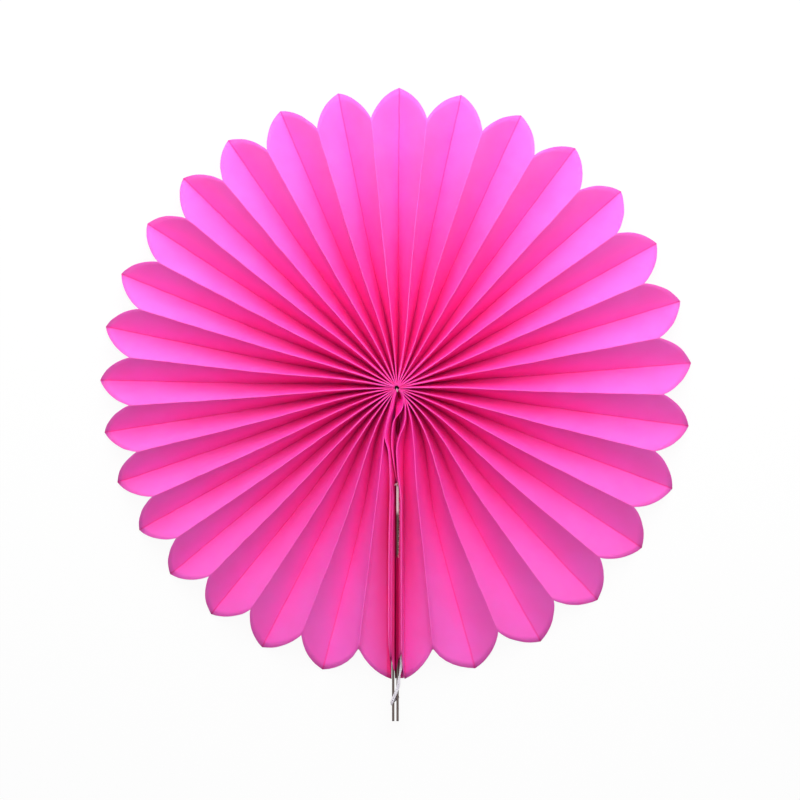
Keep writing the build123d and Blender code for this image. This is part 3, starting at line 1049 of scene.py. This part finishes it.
loose_end = [(0.3, -2.3, 11), (0.3, -1.3, 13), (0.35, -1.3, 16.5), (0.55, -2.0, 17.6), (0.65, -3.2, 17.2)]
thread = bmesh.new()
thread_line = even_points(curve_points(ring_route + loose_end, "thread route"), thread_step)
twisted(thread, thread_line, thread_strands, thread_half, thread_half, thread_lay)
tube(thread, knot_points(hub_knot, 2.0 * mm, 0.8 * mm), 0.55 * mm)
link("gathering_thread", finished_mesh(thread, "hub thread", thread_finish), "hub_thread", "hub_thread")

# The floor: matt white, just under the fan. It shows as even white where it is seen, and keeps a share
# of its own shading, so that the fan's soft shadow stays on it.
floor_half = 3.0
floor_drop = 0.3 * mm
floor_grey = (0.9, 0.9, 0.9, 1)
even_white_share = 0.93
floor_corners = [(x * floor_half, y * floor_half, 0) for x, y in ((-1, -1), (1, -1), (1, 1), (-1, 1))]
floor_mesh = bpy.data.meshes.new("floor")
floor_mesh.from_pydata(floor_corners, [], [(0, 1, 2, 3)])
floor = bpy.data.objects.new("floor", floor_mesh)
bpy.context.scene.collection.objects.link(floor)
floor.location.z = -floor_drop
white, white_tree, white_shader = new_material("white floor", 1.0)
white_shader.inputs["Base Color"].default_value = floor_grey
light_path = white_tree.nodes.new("ShaderNodeLightPath")
by_camera, by_gloss, by_glass = [
    Field(white_tree, light_path.outputs[name])
    for name in ("Is Camera Ray", "Is Glossy Ray", "Is Transmission Ray")
]
seen = by_camera.calc("MAXIMUM", by_gloss).calc("MAXIMUM", by_glass)
glow = white_tree.nodes.new("ShaderNodeEmission")
blend = white_tree.nodes.new("ShaderNodeMixShader")
white_tree.links.new((seen * even_white_share).socket, blend.inputs[0])
white_tree.links.new(white_shader.outputs[0], blend.inputs[1])
white_tree.links.new(glow.outputs[0], blend.inputs[2])
white_tree.links.new(blend.outputs[0], white_tree.nodes["Material Output"].inputs["Surface"])
floor_mesh.materials.append(white)

# The light: a white room, one large soft light over the fan's top edge and a smaller one in front.
# They are set so that the hub's deep folds fall dark and the outer petals stay bright.
room_light = 0.22
world = bpy.data.worlds.new("studio")
world.use_nodes = True
world.node_tree.nodes["Background"].inputs["Color"].default_value = (1, 1, 1, 1)
world.node_tree.nodes["Background"].inputs["Strength"].default_value = room_light
bpy.context.scene.world = world
lit_point = Vector((0, 0.02, 0))


def soft_light(name, side, power, place):
    """Square soft light that looks at the fan."""
    data = bpy.data.lights.new(name, "AREA")
    data.shape = "SQUARE"
    data.size = side
    data.energy = power
    light = bpy.data.objects.new(name, data)
    light.location = place
    light.rotation_euler = (lit_point - light.location).to_track_quat("-Z", "Y").to_euler()
    bpy.context.scene.collection.objects.link(light)


soft_light("soft light over the top", 0.7, 4.4, (0.025, 0.37, 0.33))
soft_light("soft light from the front", 0.4, 3.8, (0.0, 0.05, 1.2))

# The camera: it looks straight down on the fan from over a metre away, leaning a little to its top.
camera_distance = 1.25
camera_tilt = radians(2.0)
camera_target = Vector((2.0 * mm, -7.8 * mm, 0))
frame_width = 0.4058
camera_data = bpy.data.cameras.new("camera")
camera_data.sensor_width = 36
camera_data.lens = camera_data.sensor_width * camera_distance / frame_width
camera = bpy.data.objects.new("camera", camera_data)
camera.location = camera_target + camera_distance * Vector((0, sin(camera_tilt), cos(camera_tilt)))
camera.rotation_euler = Euler((-camera_tilt, 0, 0))
bpy.context.scene.collection.objects.link(camera)
bpy.context.scene.camera = camera
bpy.context.scene.view_settings.view_transform = "Standard"
